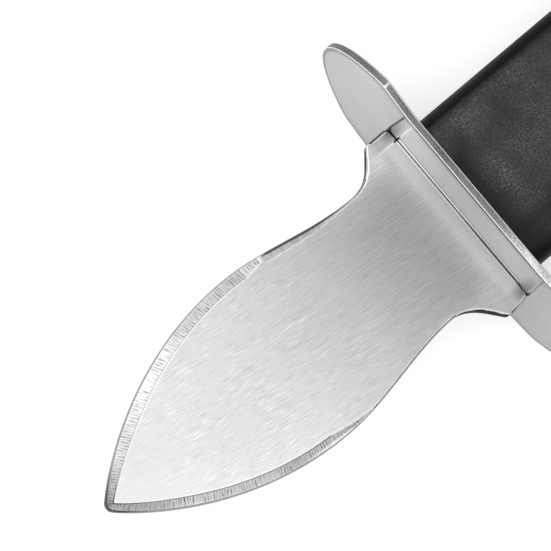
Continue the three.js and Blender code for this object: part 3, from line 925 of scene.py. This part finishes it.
def moulded_plastic():
    """Black plastic, grained and grey on its broad faces; painted shade makes it smooth and dark by the guard
    and darker towards the near edge.

    Painted shade makes its long edges dark too, and a painted highlight is a thin lighter line on their turn.
    """
    values = {"Metallic": 0.0, "Specular IOR Level": 0.06}
    material, tree, shader = start_material("moulded_plastic", values)
    here = place(tree, "Object")
    pebble = grain(tree, here, pebble_size, 2.0, 0.6)
    patch = grain(tree, here, patch_size, 3.0, 0.6)
    speck = grain(tree, here, speck_size, 1.0, 0.5)
    along, across, up = parts(tree, here)
    height = size_of(tree, less(tree, up, middle_z))
    # The black long edges, the darker near side and the dark strip by the guard: painted shade.
    on_face = ranged(tree, height, grip_top - 0.00080, grip_top - 0.00005, 0.0, 1.0)
    grey_where_lit = times(tree, on_face, ranged(tree, across, 0.0050, 0.0068, 1.0, 0.30))
    clear_of_guard = ranged(tree, along, guard_rear - 0.0044, guard_rear - 0.0010, 1.0, 0.10)
    clear_of_guard = joined(tree, "MAXIMUM", clear_of_guard, ranged(tree, across, -0.0085, -0.0045, 1.0, 0.0))
    grey_where_lit = times(tree, grey_where_lit, clear_of_guard)
    grey = ranged(tree, patch, 0.35, 0.65, 0.026, 0.060)
    pitted = plus(tree, varied(tree, pebble, -0.8, 0.8), ranged(tree, speck, 0.66, 0.78, 0.0, 2.5))
    pitted = times(tree, pitted, ranged(tree, patch, 0.35, 0.65, 0.6, 1.2))
    grey = plus(tree, grey, times(tree, grey, pitted))
    # A thin lighter line on the edges' turn: painted highlight.
    edge_gap = size_of(tree, less(tree, height, grip_top - edge_highlight_depth))
    edge_highlight = ranged(tree, edge_gap, 0.00012, 0.00037, 1.0, 0.0)
    edge_highlight = times(tree, edge_highlight, by_side(tree, across, side_blend, 0.012, 0.05))
    black = plus(tree, ranged(tree, on_face, 0.0, 1.0, 0.002, 0.015), edge_highlight)
    tone = plus(tree, times(tree, grey, grey_where_lit), black)
    set_finish(tree, shader, tone, ranged(tree, patch, 0.35, 0.65, 0.62, 0.48))
    relief(tree, shader, pebble, 0.30, 0.00003)
    return material


def scale_piece(name, side, plastic):
    """One scale: a wall and a quarter ellipse carried round the grip's outline, side +1 up or -1 down."""
    open_side = grip_side(guard_rear)
    open_side[-1, 1] = 0
    path = np.concatenate([open_side, open_side[-2::-1] * (1, -1)])
    normal = inward(path, closed=False)
    normal[0] = (0, -1)
    normal[-1] = (0, 1)
    turn = np.linspace(0, np.pi / 2, scale_round_steps)
    inset = np.concatenate([[0], scale_round_width * (1 - np.cos(turn))])
    rise = np.concatenate([[sheet_half], grip_top - scale_round_height * (1 - np.sin(turn))])
    flat = path + inset[:, None, None] * normal
    level = np.broadcast_to((middle_z + side * rise)[:, None, None], (*flat.shape[:2], 1))
    shell = np.concatenate([flat, level], axis=2)
    rows = np.arange(shell[..., 0].size).reshape(shell.shape[:2])
    tang_face = middle_z + side * sheet_half
    top_face = middle_z + side * grip_top
    seat = top_face - side * seat_depth
    bores = np.concatenate([
        holes(rivet_hole_radius, [tang_face, seat]),
        holes(seat_hole_radius, [seat, top_face]),
    ], axis=1)
    bore_rows = rows.size + np.arange(bores[..., 0].size).reshape(bores.shape[:3])
    points = np.concatenate([shell.reshape(-1, 3), bores.reshape(-1, 3)])
    run = lengths(path)
    climb = np.cumsum(np.concatenate([[0], np.hypot(np.diff(inset), np.diff(rise))]))
    ordered = rows if side > 0 else rows[::-1]
    climbed = climb if side > 0 else climb[::-1]
    wall, wall_map = between(ordered, run, climbed, closed=False)
    top = filled([rows[-1], *bore_rows[:, -1]], points, (0, 0, side))
    under = filled([rows[0], *bore_rows[:, 0]], points, (0, 0, -side))
    front_loop = np.concatenate([rows[:, 0], rows[::-1, -1]])
    front = filled([front_loop], points, (1, 0, 0))
    fields = [
        (wall, wall_map, 0, True),
        (top, points[top][:, :, :2], 0, False),
        (under, points[under][:, :, :2], 0, False),
        (front, points[front][:, :, 1:], 0, False),
    ]
    for ring in bore_rows:
        bore_wall, bore_map = between(
            ring[::-1] if side > 0 else ring,
            np.linspace(0, 1, rivet_hole_steps + 1),
            np.linspace(0, 1, len(ring)),
        )
        fields.append((bore_wall, bore_map, 0, True))
    return put_piece(name, points, fields, [plastic])


plastic = moulded_plastic()
upper_grip = scale_piece("grip_upper", 1, plastic)
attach(upper_grip, "root")
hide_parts("upper_scale")
lower_grip = scale_piece("grip_lower", -1, plastic)
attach(lower_grip, "root")
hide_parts("lower_scale")


# Rivets
# Three cutlery rivets of turned steel, each a tubular half from above and a solid half from below, pressed
# together. Their heads lie in the scales and are ground flush with them.

head_radius = 0.00325
shank_radius = 0.0023
pin_radius = 0.0015
pin_clearance = 0.00004
rivet_end_gap = 0.001
head_round = 0.0002
head_crown = 0.00006
head_round_steps = 6
crown_steps = 8
crown_inner_share = 0.05
rivet_stroke = (0.0024, 0.00017, 0.0011)


def ground_rivet():
    """Steel ground flush with the handle: fine strokes along it."""
    material, tree, shader = start_material("ground_rivet", {"Metallic": 1.0})
    here = place(tree, "Object")
    strokes = grain(tree, here, rivet_stroke, 3.0, 0.6)
    set_finish(tree, shader, varied(tree, strokes, 0.40, 0.58), varied(tree, strokes, 0.26, 0.38))
    relief(tree, shader, strokes, 0.3, 0.00002)
    return material


def turned(name, x, side, profile, material):
    """A profile of (radius, height) turned about the rivet's axis: x + r cos a, r sin a, z + side h."""
    radius, height = np.array(profile).T
    level = middle_z + side * height
    ring = np.stack([
        x + radius[:, None] * np.cos(turns),
        radius[:, None] * np.sin(turns),
        np.broadcast_to(level[:, None], (len(radius), len(turns))),
    ], axis=2)
    points = np.concatenate([ring.reshape(-1, 3), [(x, 0, level[0]), (x, 0, level[-1])]])
    rows = np.arange(ring[..., 0].size).reshape(ring.shape[:2])
    run = np.linspace(0, 2 * np.pi, len(turns) + 1) * head_radius
    climb = np.cumsum(np.concatenate([[0], np.hypot(np.diff(radius), np.diff(height))]))
    wall, wall_map = between(rows, run, climb)
    inner_end = np.stack([np.full(len(turns), rows.size), np.roll(rows[0], -1), rows[0]], axis=1)
    crown_end = np.stack([rows[-1], np.roll(rows[-1], -1), np.full(len(turns), rows.size + 1)], axis=1)
    fields = [(wall, wall_map, 0, True)]
    fields += [(fan, points[fan][:, :, :2], 0, True) for fan in (inner_end, crown_end)]
    if side < 0:
        fields = [(faces[..., ::-1], maps[..., ::-1, :], *finish) for faces, maps, *finish in fields]
    return put_piece(name, points, fields, [material])


head_seat = grip_top - seat_depth
head_bend = np.linspace(0, np.pi / 2, head_round_steps)
rim_radius = head_radius - head_round * (1 - np.cos(head_bend))
rim_height = grip_top - head_round * (1 - np.sin(head_bend))
crown_share = np.linspace(1, crown_inner_share, crown_steps)[1:]
crown_radius = (head_radius - head_round) * crown_share
crown_height = grip_top + head_crown * (1 - crown_share**2)
head = [(head_radius, head_seat), *zip(rim_radius, rim_height), *zip(crown_radius, crown_height)]
bore_radius = pin_radius + pin_clearance
tube_end = rivet_end_gap - head_seat
tube_bore = [(bore_radius, head_seat), (bore_radius, tube_end)]
tube = [*tube_bore, (shank_radius, tube_end), (shank_radius, head_seat)]
pin = [(pin_radius, tube_end), (pin_radius, head_seat)]
rivet_finish = ground_rivet()
for place_name, rivet_x in zip(("front", "middle", "rear"), rivet_xs):
    tube_half = turned(f"rivet_upper_{place_name}", rivet_x, 1, [*tube, *head], rivet_finish)
    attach(tube_half, "root")
    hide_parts(f"rivet_tube_{place_name}")
    pin_half = turned(f"rivet_lower_{place_name}", rivet_x, -1, [*pin, *head], rivet_finish)
    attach(pin_half, "root")
    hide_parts(f"rivet_pin_{place_name}")


# Floor
# A plain white sheet of board that the knife lies on, wide enough to fill every view.

floor_half = 1.5
floor_gap = 0.00005
floor_fill = 0.52
fibre_size = (0.0011, 0.0011, 0.0011)


def seen_directly(tree):
    """One for rays from the camera, from a mirror or through glass, and nought for light that only fills."""
    rays = add_node(tree, "ShaderNodeLightPath", {}).outputs
    seen = joined(tree, "MAXIMUM", rays["Is Camera Ray"], rays["Is Glossy Ray"])
    return joined(tree, "MAXIMUM", seen, rays["Is Transmission Ray"])


def white_board():
    """Matt white board that shows as white to the camera and in the steel, and keeps the knife's shadow."""
    values = {"Roughness": 0.9, "Specular IOR Level": 0.0, "Emission Color": (1, 1, 1, 1)}
    material, tree, shader = start_material("white_board", values)
    here = place(tree, "Object")
    fibre = grain(tree, here, fibre_size, 2.0, 0.5)
    tree.links.new(varied(tree, fibre, 0.79, 0.81), shader.inputs["Base Color"])
    tree.links.new(times(tree, seen_directly(tree), floor_fill), shader.inputs["Emission Strength"])
    return material


corner = np.array([(-1, -1), (1, -1), (1, 1), (-1, 1)]) * floor_half
floor_points = np.column_stack([corner, np.full(4, cad_box[0].z - floor_gap)])
floor_face = np.array([[0, 1, 2, 3]])
floor = put_piece("floor", floor_points, [(floor_face, corner[None], 0, False)], [white_board()])


# Studio light
# A bright room, a softbox over the front of the blade that fades towards the guard, and a second one beside
# the far edge that catches its bevel.

room_light = 0.50
room_shown = 1.0
ceiling_share = 0.58
softbox_radiance = 1.50
softbox_size = (0.26, 0.34)
softbox_place = (0.107, -0.02, 0.21)
side_radiance = 1.15
side_size = (0.22, 0.12)
side_place = (0.115, -0.19, 0.12)
side_aim = (0.115, -0.01, 0.01)


def softbox(name, radiance, size, at, aim):
    """A flat soft light of this radiance: its power is radiance x pi x area."""
    lamp = bpy.data.lights.new(name, "AREA")
    lamp.shape = "RECTANGLE"
    lamp.size, lamp.size_y = size
    lamp.energy = radiance * np.pi * size[0] * size[1]
    light = bpy.data.objects.new(name, lamp)
    light.location = at
    light.rotation_mode = "QUATERNION"
    light.rotation_quaternion = (Vector(aim) - Vector(at)).to_track_quat("-Z", "Y")
    light.visible_camera = False
    bpy.context.scene.collection.objects.link(light)


softbox("softbox_over", softbox_radiance, softbox_size, softbox_place, (*softbox_place[:2], 0))
softbox("softbox_far", side_radiance, side_size, side_place, side_aim)

room = bpy.data.worlds.new("room")
bpy.context.scene.world = room
room.use_nodes = True
room_tree = room.node_tree
room_height = parts(room_tree, place(room_tree, "Generated"))["Z"]
room_strength = ranged(room_tree, seen_directly(room_tree), 0.0, 1.0, room_light, room_shown)
ceiling = ranged(room_tree, room_height, 0.35, 0.95, 1.0, ceiling_share)
room_strength = times(room_tree, room_strength, ceiling)
room_tree.nodes["Background"].inputs["Color"].default_value = (1, 1, 1, 1)
room_tree.links.new(room_strength, room_tree.nodes["Background"].inputs["Strength"])


# Camera
# It looks down on the blade's face, tilted towards the tip, with the knife running up to the right.

view_tilt = np.radians(19.2)
view_turn = np.radians(40.2)
picture_width = 0.0711
camera_distance = 3.0
sensor_width = 36.0
aim_from_tip = 0.03805
aim_across = -0.00892

camera_data = bpy.data.cameras.new("camera")
camera_data.sensor_width = sensor_width
camera_data.lens = sensor_width * camera_distance / picture_width
camera_data.clip_start = 0.01
camera_data.clip_end = 20.0
towards = Vector((np.sin(view_tilt), 0, np.cos(view_tilt)))
handle_way = Vector((-np.cos(view_tilt), 0, np.sin(view_tilt)))
across_way = Vector((0, 1, 0))
right = np.cos(view_turn) * handle_way + np.sin(view_turn) * across_way
up = np.sin(view_turn) * handle_way - np.cos(view_turn) * across_way
aim = Vector((tip_x - aim_from_tip, aim_across, middle_z))
camera = bpy.data.objects.new("camera", camera_data)
camera_turn = Matrix((right, up, towards)).transposed().to_4x4()
camera.matrix_world = Matrix.Translation(aim + camera_distance * towards) @ camera_turn
bpy.context.scene.collection.objects.link(camera)
bpy.context.scene.camera = camera
bpy.context.scene.view_settings.view_transform = "Standard"
